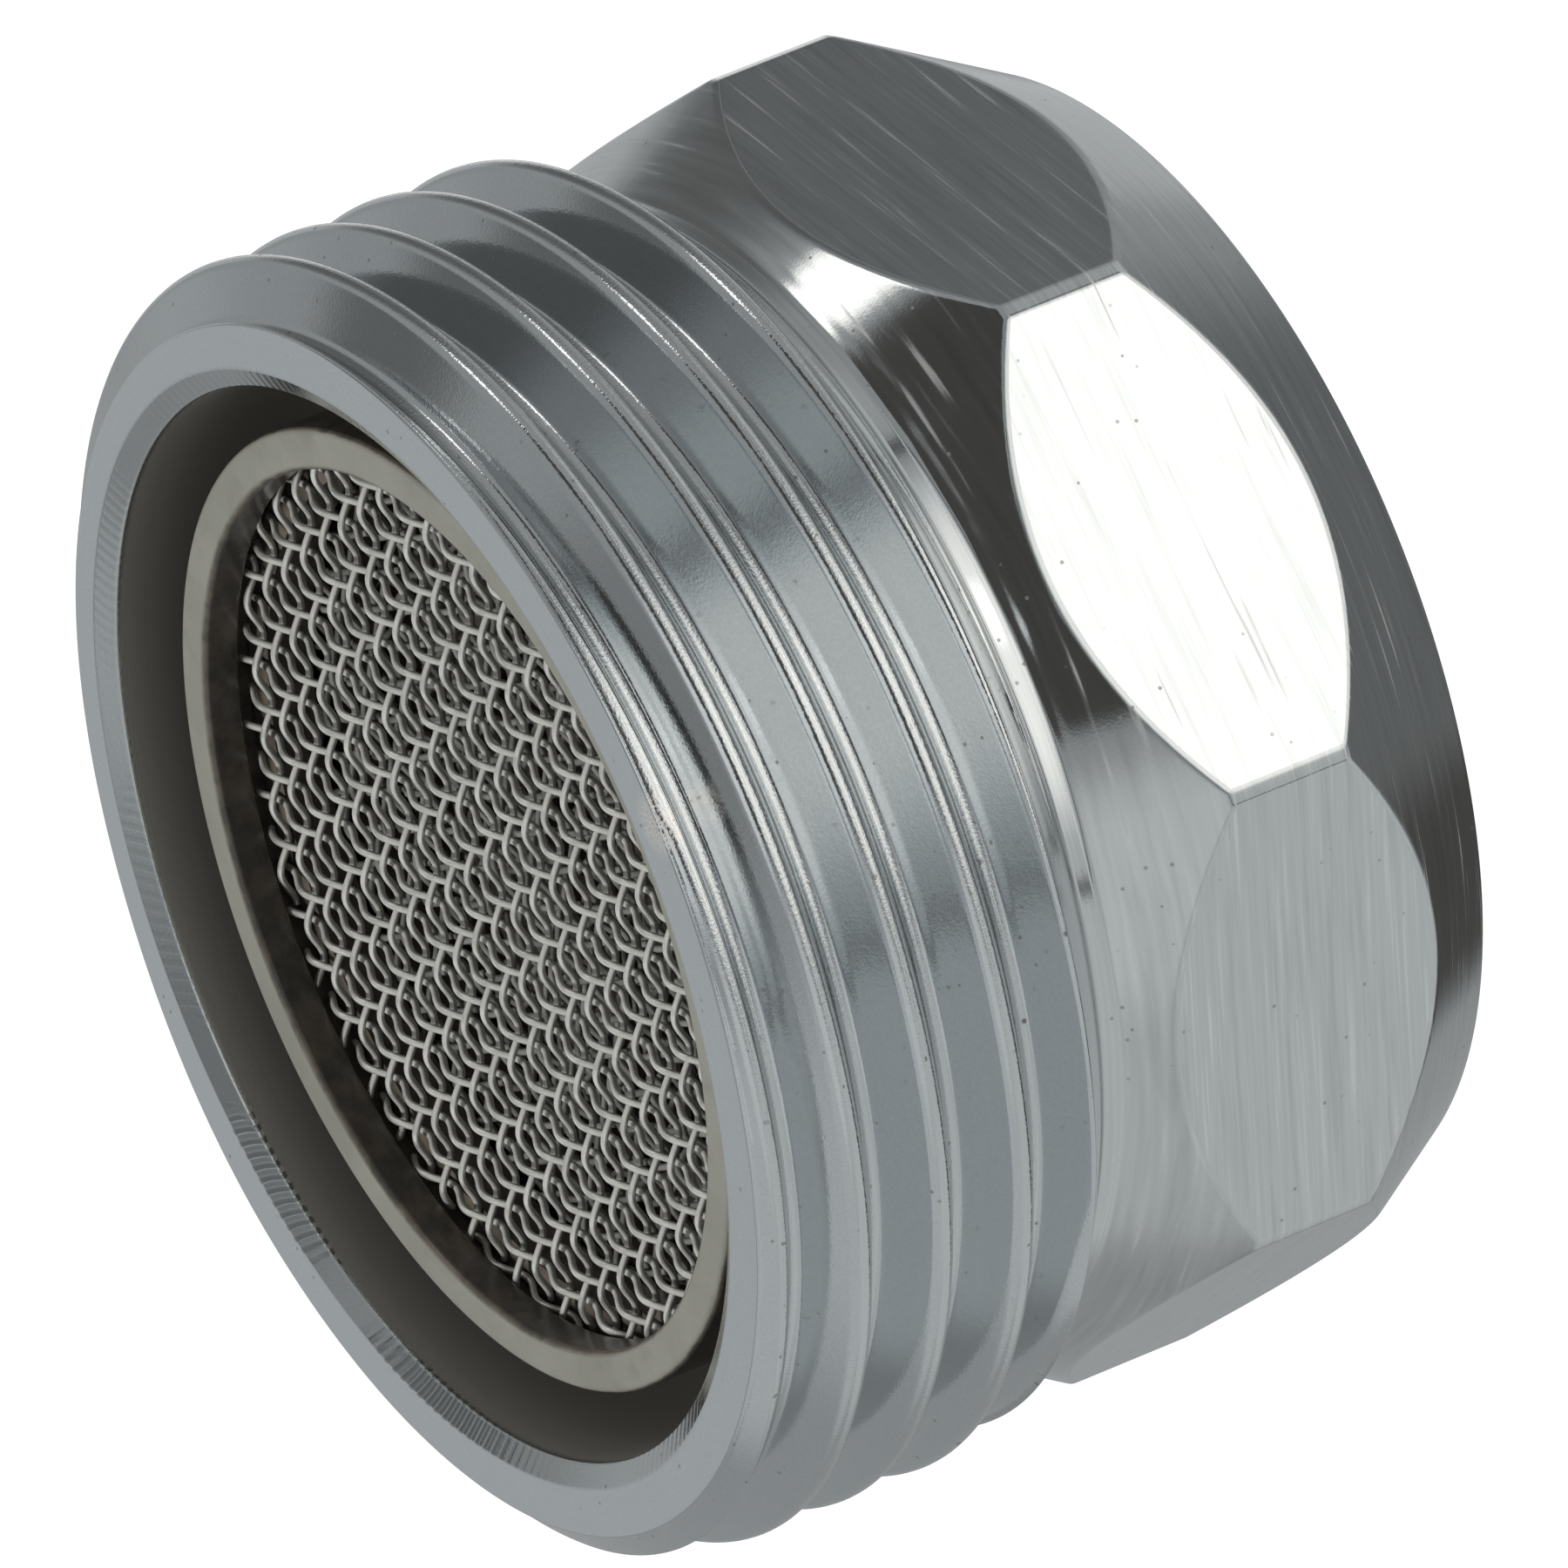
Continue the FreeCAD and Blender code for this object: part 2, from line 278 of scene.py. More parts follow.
def spanner_rows(s, turn):
    """Rows of the spanner section, from the inlet rim up to the relief.

    The radius is the least of the flat, w / cos(t), of the corner radius, and of the two cones, blended over
    a few hundredths of a millimetre. The rows follow the heights at which each column leaves one surface for
    the next.
    """
    corner_blend, cone_blend = 0.02 * MM, 0.06 * MM
    clear, margin = 0.2 * MM, 0.3 * MM
    bend = np.array([-0.16, -0.11, -0.07, -0.03, 0.0, 0.03, 0.07, 0.11, 0.16])[:, None] * MM
    corner = s.corner_diameter / 2
    rim = s.inlet_rim_diameter / 2
    low_slope, high_slope = math.tan(s.inlet_cone), math.tan(s.outlet_cone)
    half_flat = math.radians(FLAT_ANGLE / 2)
    near = (turn + half_flat) % math.radians(FLAT_ANGLE) - half_flat
    across = smooth_min(s.spanner_width / 2 / np.cos(near), corner, corner_blend)
    low = (across - rim) / low_slope
    high = s.corner_high + (corner - across) / high_slope
    part = np.linspace(0, 1, 8)[:, None]
    between = np.linspace(0, 1, 10)[1:-1][:, None]
    bottom, top = margin, s.relief_low - margin
    height = np.concatenate([
        bottom + (low - clear - bottom) * part,
        low + bend,
        low + clear + (high - low - 2 * clear) * between,
        high + bend,
        high + clear + (top - high - clear) * part,
    ])
    radius = smooth_min(np.broadcast_to(across, height.shape), rim + height * low_slope, cone_blend)
    radius = smooth_min(radius, corner - (height - s.corner_high) * high_slope, cone_blend)
    return radius, height


def thread_radius(s, offset):
    """Radius of the rounded male thread at a height offset from its crest.

    With f the flank angle and q the rounding, the crest is R - q + sqrt(q * q - w * w) up to w = q * cos(f),
    the root is the same arc turned over, half a pitch away, and a straight flank of slope 1 / tan(f) joins
    them.
    """
    w = np.abs(offset)
    q, half = s.thread_round, s.pitch / 2
    touch = q * math.cos(s.flank)
    crest = s.major_radius - q + np.sqrt(np.maximum(q * q - w * w, 0))
    root = s.root_radius + q - np.sqrt(np.maximum(q * q - (half - w) ** 2, 0))
    side = s.major_radius - q * (1 - math.sin(s.flank)) - (w - touch) / math.tan(s.flank)
    return np.where(w < touch, crest, np.where(w > half - touch, root, side))


def thread_offsets(s):
    """Heights of one pitch's rows from its crest, close over crest and root and wide on the flanks."""
    bend = math.pi / 2 - s.flank
    crest = s.thread_round * np.sin(np.linspace(-bend, bend, 11))
    root = s.pitch / 2 + s.thread_round * np.sin(np.linspace(-bend, bend, 9))
    rise = np.array([crest[-1] + GUARD, (crest[-1] + root[0]) / 2, root[0] - GUARD])
    return np.concatenate([crest, rise, root, s.pitch - rise[::-1]])


def run_in_slope(s):
    """Growth of the radius with the height on the cone that leads from the relief into the thread."""
    return (s.major_radius - s.relief_radius) / (s.thread_low - s.relief_high)


def thread_rows(s, turn, low, high):
    """Rows of the male thread, which climb with it.

    The radius is the least of the thread's own, of the run-in cone and of the lead chamfer, blended over a
    tenth of a millimetre. The rows keep their places on the thread's profile, and stop at the two ends.
    """
    blend = 0.1 * MM
    first = s.groove_phase + s.pitch / 2 + turn / math.tau * s.pitch
    start = math.floor((low - float(first.max())) / s.pitch) - 1
    stop = math.ceil((high - float(first.min())) / s.pitch) + 1
    steps = (np.arange(start, stop)[:, None] * s.pitch + thread_offsets(s)[None, :]).ravel()
    height = np.clip(first[None, :] + steps[:, None], low, high)
    offset = (height - first + s.pitch / 2) % s.pitch - s.pitch / 2
    run_in = s.relief_radius + (height - s.relief_high) * run_in_slope(s)
    lead = s.major_radius - (height - s.height + s.lead_length) * s.lead_width / s.lead_length
    return smooth_min(smooth_min(thread_radius(s, offset), run_in, blend), lead, blend), height


def inlet_thread_rows(s, turn, high, low, per_turn=9):
    """Rows of the fine inlet thread, which fall with it.

    With w the share of a pitch, h half the groove's width and b its side's, both as shares of a pitch, the
    groove's depth is g * clip((h - |w - 0.5|) / b, 0, 1). It fades out at both ends.
    """
    half_groove, side = 0.36, 0.3
    low_fade, high_fade = 0.3 * MM, 0.2 * MM
    climb = (turn - turn[0]) / math.tau * s.inlet_pitch
    count = int(math.ceil((high - low + s.inlet_pitch) / s.inlet_pitch * per_turn)) + 1
    step = np.arange(count)[:, None] * s.inlet_pitch / per_turn
    height = np.clip(high + climb[None, :] - step, low, high)
    wave = (height / s.inlet_pitch - turn / math.tau) % 1.0
    depth = np.clip((half_groove - np.abs(wave - 0.5)) / side, 0, 1)
    fade = np.clip((height - low) / low_fade, 0, 1) * np.clip((high - height) / high_fade, 0, 1)
    return s.inlet_radius + s.inlet_groove * depth * fade, height


def body_surface(s):
    """Points of the whole turned body, in rows up its outside, over the outlet face and down its bore.

    Each stretch is a profile or a thread of its own, and its rows stop a little short of the next one's.
    """
    cone_reach, run_in_reach, run_in_end = 0.25 * MM, 0.18 * MM, 0.2 * MM
    relief_edge, run_in_edge, rim_edge = 0.35 * MM, 0.2 * MM, 0.07 * MM
    face_margin, entry_margin = 0.1 * MM, 0.1 * MM
    groove_reach, inlet_high, inlet_low = 0.12 * MM, s.seat_groove_low - 0.15 * MM, 0.3 * MM
    turn = octant_angles()
    columns = len(turn)
    foot = s.relief_low - cone_reach
    relief = filleted([
        (s.corner_diameter / 2 - (foot - s.corner_high) * math.tan(s.outlet_cone), foot),
        (s.relief_radius, s.relief_low, relief_edge),
        (s.relief_radius, s.relief_high, run_in_edge),
        (s.relief_radius + run_in_reach * run_in_slope(s), s.relief_high + run_in_reach),
    ])
    thread = thread_rows(s, turn, s.relief_high + run_in_end, s.height - rim_edge)
    rim_radius = thread[0][-1]
    bend = np.radians([20.0, 40.0, 60.0, 80.0, 90.0])[:, None]
    mouth_radius = s.bore_radius + s.bore_chamfer_width
    face_radius = mouth_radius + face_margin
    cap_radius = np.concatenate([
        rim_radius - rim_edge * (1 - np.cos(bend)),
        (rim_radius - rim_edge - GUARD)[None, :],
        0.5 * (rim_radius + face_radius)[None, :],
    ])
    rim_height = s.height - rim_edge + rim_edge * np.sin(bend)
    cap_height = np.concatenate([rim_height, [[s.height]], [[s.height]]])
    bore = filleted([
        (face_radius, s.height),
        (mouth_radius, s.height, SMALL_EDGE),
        (s.bore_radius, s.height - s.bore_chamfer_depth, SMALL_EDGE),
        (s.bore_radius, s.ledge_high, ROUND_EDGE),
        (s.ledge_radius, s.ledge_high, SMALL_EDGE),
        (s.ledge_radius, s.ledge_low, SMALL_EDGE),
        (s.seat_groove_radius, s.ledge_low, SMALL_EDGE),
        (s.seat_groove_radius, s.seat_groove_low, ROUND_EDGE),
        (s.inlet_radius, s.seat_groove_low, SMALL_EDGE),
        (s.inlet_radius, s.seat_groove_low - groove_reach),
    ])
    rim = s.inlet_rim_diameter / 2
    entry = filleted([
        (s.inlet_radius, s.entry_chamfer + entry_margin),
        (s.inlet_radius, s.entry_chamfer, SHARP_EDGE),
        (s.inlet_radius + s.entry_chamfer, 0.0, SHARP_EDGE),
        (rim, 0.0, ROUND_EDGE),
        (rim + cone_reach * math.tan(s.inlet_cone), cone_reach),
    ])
    parts = [
        spanner_rows(s, turn),
        turned_rows(relief, columns),
        thread,
        (cap_radius, np.broadcast_to(cap_height, cap_radius.shape)),
        turned_rows(bore, columns),
        inlet_thread_rows(s, turn, inlet_high, inlet_low),
        turned_rows(entry, columns),
    ]
    radius = np.concatenate([part[0] for part in parts])
    height = np.concatenate([part[1] for part in parts])
    return polar_points(radius, height, turn[None, :])


def sleeve_surface(s):
    """Grid points of the sleeve and the quads that its air slots leave.

    A profile of (radius, height) rows runs up the outside, over the soft lip and down the inside, and is
    turned round the axis. Columns stand at both sides of every slot, rows at its top and bottom, and each
    slot's four walls join the outer skin's edge to the inner skin's.
    """
    steps = 12
    wall_start, lip_start = s.flange_high + 0.3 * MM, s.slot_high + 0.5 * MM
    foot_radius = (s.inner_radius + s.flange_radius) / 2
    outer = filleted([
        (foot_radius, s.flange_low),
        (s.flange_radius, s.flange_low, ROUND_EDGE),
        (s.flange_radius, s.flange_high, ROUND_EDGE),
        (s.outer_radius, s.flange_high, SHARP_EDGE),
        (s.outer_radius, wall_start),
    ])
    lip = filleted([
        (s.outer_radius, lip_start),
        (s.outer_radius, s.lip_high, s.lip_round),
        (s.lip_radius, s.lip_high, LIP_EDGE),
        (s.lip_radius, s.lip_low, SMALL_EDGE),
        (s.inner_radius, s.lip_low, SHARP_EDGE),
        (s.inner_radius, lip_start),
    ], steps=8)
    foot = filleted([
        (s.inner_radius, s.flange_high),
        (s.inner_radius, s.flange_low, SMALL_EDGE),
        (foot_radius, s.flange_low),
    ])
    slot = np.array([s.slot_low, s.slot_high])
    outside = np.stack([np.full(2, s.outer_radius), slot], axis=-1)
    inside = np.stack([np.full(2, s.inner_radius), slot[::-1]], axis=-1)
    profile = np.concatenate([outer, outside, lip, inside, foot[:-1]])
    half = math.asin(s.slot_width / 2 / s.outer_radius)
    share = math.tau / s.slot_count
    slot_columns = np.linspace(-half, half, steps + 1)
    wall_columns = np.linspace(half, share - half, steps + 1)[1:-1]
    one = np.concatenate([slot_columns, wall_columns])
    turn = (one[None, :] + share * np.arange(s.slot_count)[:, None]).ravel()
    rows, columns = len(profile), len(turn)
    points = polar_points(*turned_rows(profile, columns), turn[None, :])
    quads = grid_quads(rows, columns, wrap_rows=True, wrap_columns=True)
    row, column = np.divmod(np.arange(len(quads)), columns)
    low_out, low_in = len(outer), len(outer) + 2 + len(lip) + 1
    in_slot = column % len(one) < steps
    quads = quads[~(in_slot & ((row == low_out) | (row == low_in - 1)))]
    number = np.arange(rows * columns).reshape(rows, columns)
    first = (np.arange(s.slot_count) * len(one))[:, None]
    across = first + np.arange(steps)[None, :]
    walls = []
    for out_row, in_row in ((low_out, low_in), (low_out + 1, low_in - 1)):
        walls.append([number[out_row, across], number[out_row, across + 1],
                      number[in_row, across + 1], number[in_row, across]])
    for edge in (first, first + steps):
        walls.append([number[low_out, edge], number[low_out + 1, edge],
                      number[low_in - 1, edge], number[low_in, edge]])
    return points, np.concatenate([quads] + [np.stack(wall, axis=-1).reshape(-1, 4) for wall in walls])


def woven_cloth(radius, wire, pitches, directions, rise, middle, per_crossing, sides, dish=None):
    """Points and quads of a disc of plain-woven round wires.

    Wire n of one family is offset by n times the other family's crossing vector. Its centre line climbs and
    falls as rise * cos(pi * s / pitch + pi * n), the other family's as the opposite, so each wire passes
    over one and under the next. A ring of points is carried along it, and both ends close to a point. The
    height dish(x, y) bends the whole cloth.
    """
    vectors = [np.array([math.cos(a), math.sin(a)]) * p for a, p in zip(directions, pitches)]
    all_points, all_quads, start = [], [], 0
    for family, sign in ((0, 1.0), (1, -1.0)):
        along, other = vectors[family], vectors[1 - family]
        pitch = float(np.linalg.norm(along))
        unit = along / pitch
        normal = np.array([-unit[1], unit[0]])
        count = int(radius / abs(float(other @ normal))) + 2
        number = np.arange(-count, count + 1)
        origin = number[:, None] * other[None, :]
        distance = origin @ normal
        kept = np.abs(distance) < radius - wire
        number, origin, distance = number[kept], origin[kept], distance[kept]
        reach = np.sqrt(radius ** 2 - distance ** 2) - wire / 2
        centre = -(origin @ unit)
        samples = int(2 * radius / pitch * per_crossing)
        part = np.linspace(-1, 1, samples)
        s = centre[:, None] + reach[:, None] * part[None, :]
        phase = math.pi * s / pitch + math.pi * number[:, None]
        plane = origin[:, None, :] + s[:, :, None] * unit
        level = sign * rise * np.cos(phase)
        if dish is not None:
            level = level + dish(plane[:, :, 0], plane[:, :, 1])
        tilt = np.gradient(level, axis=1) / np.gradient(s, axis=1)
        size = np.sqrt(1 + tilt ** 2)
        ring = np.linspace(0, math.tau, sides, endpoint=False)
        shrink = np.ones(samples)
        shrink[[0, -1]] = 0.0
        side = (wire / 2 * shrink)[None, :, None] * np.cos(ring)
        lift = (wire / 2 * shrink)[None, :, None] * np.sin(ring)
        back = lift * (tilt / size)[:, :, None]
        x = plane[:, :, None, 0] + side * normal[0] - back * unit[0]
        y = plane[:, :, None, 1] + side * normal[1] - back * unit[1]
        z = middle + level[:, :, None] + lift / size[:, :, None]
        points = np.stack([x, y, z], axis=-1)
        quads = grid_quads(samples, sides, wrap_columns=True)
        shifts = start + np.arange(len(number))[:, None, None] * samples * sides
        all_points.append(points.reshape(-1, 3))
        all_quads.append((quads[None] + shifts).reshape(-1, 4))
        start += points.shape[0] * samples * sides
    return np.concatenate(all_points), np.concatenate(all_quads)


class Value:
    """A shader value: one output socket, with arithmetic that adds Math nodes."""

    def __init__(self, finish, socket):
        self.finish = finish
        self.socket = socket

    def __add__(self, other):
        return self.finish.math("ADD", self, other)

    def __sub__(self, other):
        return self.finish.math("SUBTRACT", self, other)

    def __rsub__(self, other):
        return self.finish.math("SUBTRACT", other, self)

    def __mul__(self, other):
        return self.finish.math("MULTIPLY", self, other)

    def __truediv__(self, other):
        return self.finish.math("DIVIDE", self, other)

    def __pow__(self, other):
        return self.finish.math("POWER", self, other)

    __radd__ = __add__
    __rmul__ = __mul__


class Finish:
    """The node tree of one material. Every node comes from add()."""

    def __init__(self, name):
        self.material = bpy.data.materials.new(name)
        self.material.use_nodes = True
        self.tree = self.material.node_tree
        self.tree.nodes.clear()

    def add(self, kind, settings=None, inputs=None, output=0):
        """Adds a node: its settings first, then the values or links of its sockets. Gives one output."""
        node = self.tree.nodes.new(kind)
        for key, value in (settings or {}).items():
            setattr(node, key, value)
        for key, value in (inputs or {}).items():
            socket = next(s for i, s in enumerate(node.inputs) if s.enabled and key in (i, s.name))
            if isinstance(value, Value):
                self.tree.links.new(value.socket, socket)
            else:
                socket.default_value = value
        found = [s for s in node.outputs if s.enabled and output in (0, s.name)]
        return Value(self, found[0]) if found else None

    def math(self, operation, a, b=None):
        """One Math node of one or two values."""
        values = {0: a} if b is None else {0: a, 1: b}
        return self.add("ShaderNodeMath", {"operation": operation}, values)

    def position(self):
        """Object coordinates in millimetres, as three values."""
        place = self.add("ShaderNodeTexCoord", output="Object")
        scaled = self.add("ShaderNodeVectorMath", {"operation": "SCALE"}, {"Vector": place, "Scale": 1 / MM})
        return [self.add("ShaderNodeSeparateXYZ", None, {"Vector": scaled}, output=axis) for axis in "XYZ"]

    def upward(self):
        """Height of the surface's own normal, from -1 to 1, which put_piece() keeps as an attribute."""
        return self.add("ShaderNodeAttribute", {"attribute_name": "upward"}, output="Fac")

    def vector(self, x, y, z):
        """A vector from three values."""
        return self.add("ShaderNodeCombineXYZ", None, {"X": x, "Y": y, "Z": z})

    def noise(self, vector, scale, detail=2.0, roughness=0.5):
        """Noise from 0 to 1."""
        return self.add("ShaderNodeTexNoise", {"noise_dimensions": "3D"},
                        {"Vector": vector, "Scale": scale, "Detail": detail, "Roughness": roughness})

    def band(self, value, low, high, bottom=0.0, top=1.0):
        """Soft step from bottom to top while a value goes from low to high, held outside them."""
        return self.add("ShaderNodeMapRange", {"interpolation_type": "SMOOTHSTEP", "clamp": True},
                        {"Value": value, "From Min": low, "From Max": high, "To Min": bottom, "To Max": top})

    def blend(self, factor, a, b):
        """Colour between two colours."""
        a, b = (value if isinstance(value, Value) else (*value, 1.0) for value in (a, b))
        return self.add("ShaderNodeMix", {"data_type": "RGBA"}, {"Factor": factor, "A": a, "B": b})

    def bump(self, height, distance):
        """Normal bent by a height, whose step of 1 stands for a distance in metres."""
        return self.add("ShaderNodeBump", None, {"Height": height, "Distance": distance})

    def surface(self, inputs):
        """Ends the tree in one Principled shader."""
        shader = self.add("ShaderNodeBsdfPrincipled", None, inputs)
        self.add("ShaderNodeOutputMaterial", None, {"Surface": shader})
        return self.material

    def glow(self, light, strength=1.0):
        """Ends the tree in a black surface that only glows, and that isn't sampled as a lamp."""
        material = self.surface({"Base Color": (0.0, 0.0, 0.0, 1.0), "Specular IOR Level": 0.0,
                                 "Emission Color": light, "Emission Strength": strength})
        material.cycles.emission_sampling = "NONE"
        return material


def toned(colour, share):
    """A colour with each part times a share."""
    return tuple(share * part for part in colour)


# Places in millimetres at which the finishes change, as the two ends of a soft step
THREAD_STARTS = (8.9, 9.6)
FLATS_END = (8.4, 8.2)
BORE_WALL = (10.95, 11.05)
BORE_MOUTH = (16.6, 16.85)
# Radii and heights of the bore chamfer, which bear its chatter marks and its painted shade
CHAMFER_RADII = (11.42, 11.34)
CHAMFER_HEIGHTS = (16.68, 16.8)
# Heights of the wire crowns' painted highlight, and of the inner screens' deeper painted shade
OUTLET_CROWNS = (15.07, 15.22)
STRAINER_CROWNS = (7.5, 7.3)
INNER_SCREENS = (14.0, 14.9)
# Bounds of the lip's top face and of the painted shade below it
LIP_FACE = (16.015, 16.065)
LIP_RADII = (9.0, 9.12)
FLANGE_TOP = (7.3, 9.0)
# Centre of the small scuffed patch on the outlet face, in millimetres
SCUFF = (-1.45, -12.2, 17.05)


def chrome_finish(colours):
    """Plated brass: streaks brushed round the axis, satin thread flanks, specks, nicks and chatter marks.

    Streaks are noise that is long round the axis and short along the profile. Rough streaks gather light
    from all round, so they show pale where the plating mirrors something dark. Inside, the bore is dull bare
    metal.
    """
    f = Finish("brushed_chrome")
    x, y, z = f.position()
    radius = (x * x + y * y) ** 0.5
    around_x, around_y = x / radius, y / radius
    facing = f.math("ABSOLUTE", f.upward())
    along = z + radius * f.band(facing, 0.05, 0.15, 0.0, 0.7)
    fine = f.noise(f.vector(around_x * 3.0, around_y * 3.0, along * 11.0), 1.0, 1.0, 0.65)
    lines = f.noise(f.vector(around_x * 2.2, around_y * 2.2, along * 3.6), 1.0, 3.0, 0.7)
    broad = f.noise(f.vector(around_x * 1.6, around_y * 1.6, along * 0.7), 1.0, 1.0)
    place = f.vector(x, y, z)
    grain = f.noise(place, 17.0, 1.0, 0.7)
    cloud = f.noise(place, 0.55, 0.0)

    thread = f.band(z, *THREAD_STARTS)
    satin = thread * f.band(facing, 0.35, 0.6)
    spanner = f.band(z, *FLATS_END)
    inside = f.band(radius, *BORE_WALL, 1.0, 0.0) * f.band(z, *BORE_MOUTH, 1.0, 0.0)
    crest = thread * f.band(facing, 0.6, 0.3) * (1 - inside)

    scratch = f.band(fine, 0.54, 0.72) * f.band(lines, 0.46, 0.66) * spanner
    smear = f.band(lines, 0.5, 0.75) * f.band(broad, 0.4, 0.62) * spanner
    cells = f.add("ShaderNodeTexVoronoi", {"voronoi_dimensions": "3D", "feature": "F1"},
                  {"Vector": place, "Scale": 2.1}, output="Distance")
    speck = f.band(cells, 0.11, 0.06) * f.band(cloud, 0.42, 0.6)
    nick = f.band(cells, 0.15, 0.1) * crest * f.band(broad, 0.45, 0.58)

    turn = f.math("ARCTAN2", y, x)
    patch = f.band(f.math("SINE", turn * 9.0 + broad * 9.0), -0.7, 0.1)
    patch = patch * (f.band(f.math("ABSOLUTE", turn - 2.0), 0.62, 0.35) * 0.85 + 0.15)
    teeth = f.band(f.math("SINE", turn * 250.0 + broad * 16.0 + radius * 9.0), -0.6, 0.8)
    mouth = f.band(radius, *CHAMFER_RADII) * f.band(z, *CHAMFER_HEIGHTS)
    chatter = teeth * patch * mouth

    offset = f.vector(x - SCUFF[0], y - SCUFF[1], z - SCUFF[2])
    reach = f.add("ShaderNodeVectorMath", {"operation": "LENGTH"}, {0: offset}, output="Value")
    scuff = f.band(reach, 0.75, 0.35) * f.band(grain, 0.4, 0.56)

    cool = tuple(part * share for part, share in zip(colours.chrome, (0.985, 1.0, 1.02)))
    layers = (
        (satin * 0.8, cool),
        (f.band(grain, 0.3, 0.7) * satin * 0.22, toned(cool, 0.72)),
        (scratch * 0.5, (0.9, 0.89, 0.86)),
        (f.band(lines, 0.52, 0.3) * spanner * 0.32, toned(colours.chrome, 0.6)),
        # The chatter marks are real; the mouth term darkens the whole bore chamfer as painted shade.
        (chatter * 0.5 + mouth * 0.25, toned(colours.chrome, 0.4)),
        (speck * 0.6, (0.28, 0.26, 0.22)),
        (nick * 0.7, (0.1, 0.1, 0.09)),
        (scuff, (0.98, 0.94, 0.9)),
        (inside, colours.bare),
    )
    shade = f.blend(f.band(fine, 0.3, 0.7), toned(colours.chrome, 0.92), colours.chrome)
    for amount, tone in layers:
        shade = f.blend(amount, shade, tone)
    rough = 0.06 + broad * 0.06 + satin * 0.02 + scratch * 0.4 + smear * 0.18
    rough = rough + inside * 0.34 + chatter * 0.15 + scuff * 0.35 + speck * 0.3
    height = fine * 1.4 + grain * (0.54 + crest * 7.0 + satin * 1.35)
    height = height + cloud * spanner * 12.0 + chatter * 16.0
    return f.surface({"Base Color": shade, "Metallic": 1 - inside * 0.75, "Roughness": rough,
                      "Normal": f.bump(height, 0.001 * MM)})


def steel_finish(colours):
    """Drawn stainless wire with a painted highlight on its outward crowns and painted shade below them."""
    f = Finish("drawn_steel_painted_light")
    x, y, z = f.position()
    place = f.vector(x, y, z)
    up = f.upward()
    # Painted highlight: the outlet screen's crowns facing up and the strainer's crowns facing down take the
    # bright tone.
    outlet_painted_highlight = f.band(z, *OUTLET_CROWNS) * f.band(up, 0.0, 0.7)
    painted_highlight = outlet_painted_highlight + f.band(z, *STRAINER_CROWNS) * f.band(up, 0.1, -0.6)
    spots = f.noise(place, 2.5, 1.0, 0.6)
    grain = f.noise(place, 16.0, 0.0)
    highlight_tone = f.blend(f.band(spots, 0.35, 0.7), colours.steel, toned(colours.steel, 0.75))
    # Painted shade: the wire off the crowns is darkened, and more so on the inner screens deeper in the
    # recess.
    dull = f.blend(f.band(z, *INNER_SCREENS), toned(colours.steel, 0.3), toned(colours.steel, 0.6))
    shade = f.blend(painted_highlight, dull, highlight_tone)
    return f.surface({"Base Color": shade, "Metallic": 0.3 + painted_highlight * 0.4, "Roughness": 0.18 + spots * 0.16,
                      "Normal": f.bump(grain, 0.003 * MM)})


def plastic_finish(colours):
    """Moulded plastic with a soft grain, slow changes of tone and stains, and painted shade below the lip's
    face.
    """
    f = Finish("stained_plastic_painted_shade")
    x, y, z = f.position()
    place = f.vector(x, y, z)
    tint = colours.plastic
    cloud = f.noise(place, 0.45, 3.0)
    stain_and_shade = f.noise(place, 1.4, 4.0, 0.6)
    grain = f.noise(place, 9.0, 4.0, 0.6)
    shade = f.blend(f.band(cloud, 0.3, 0.7), toned(tint, 0.84), tint)
    shade = f.blend(f.band(stain_and_shade, 0.5, 0.75) * 0.25, shade, toned(tint, 0.5))
    radius = (x * x + y * y) ** 0.5
    # Painted shade: all the plastic but the top face of the lip, down to the flange, takes a dark tone,
    # varied by the stain noise.
    face = f.band(z + stain_and_shade * 0.06, *LIP_FACE) * f.band(radius + stain_and_shade * 0.08, *LIP_RADII)
    below = (1 - face) * f.band(z, *FLANGE_TOP)
    dark = f.blend(f.band(stain_and_shade, 0.35, 0.65), (0.06, 0.053, 0.044), (0.12, 0.1, 0.08))
    shade = f.blend(below, shade, dark)
    rough = 0.38 + grain * 0.12 - below * 0.2
    return f.surface({"Base Color": shade, "Roughness": rough, "Normal": f.bump(grain, 0.006 * MM)})


def rubber_finish(colours):
    """Black rubber with a fine dull grain."""
    f = Finish("dull_rubber")
    x, y, z = f.position()
    place = f.vector(x, y, z)
    grain = f.noise(place, 6.0, 5.0, 0.65)
    dust = f.noise(place, 0.7, 3.0)
    shade = f.blend(f.band(dust, 0.45, 0.75), colours.rubber, toned(colours.rubber, 2.6))
    rough = 0.55 + grain * 0.25
    return f.surface({"Base Color": shade, "Roughness": rough, "Normal": f.bump(grain, 0.01 * MM)})


# Maker of the finish of each material slot, and the finishes made so far
FINISHES = {
    "chrome_plate": chrome_finish,
    "steel_wire": steel_finish,
    "pale_plastic": plastic_finish,
    "black_rubber": rubber_finish,
}
MADE = {}


def give_finish(piece, slot):
    """Gives a piece the finish of a material slot, which is made the first time it is asked for."""
    if slot not in MADE:
        MADE[slot] = FINISHES[slot](bpy.context.scene.adapter_colours)
    piece.data.materials.clear()
    piece.data.materials.append(MADE[slot])


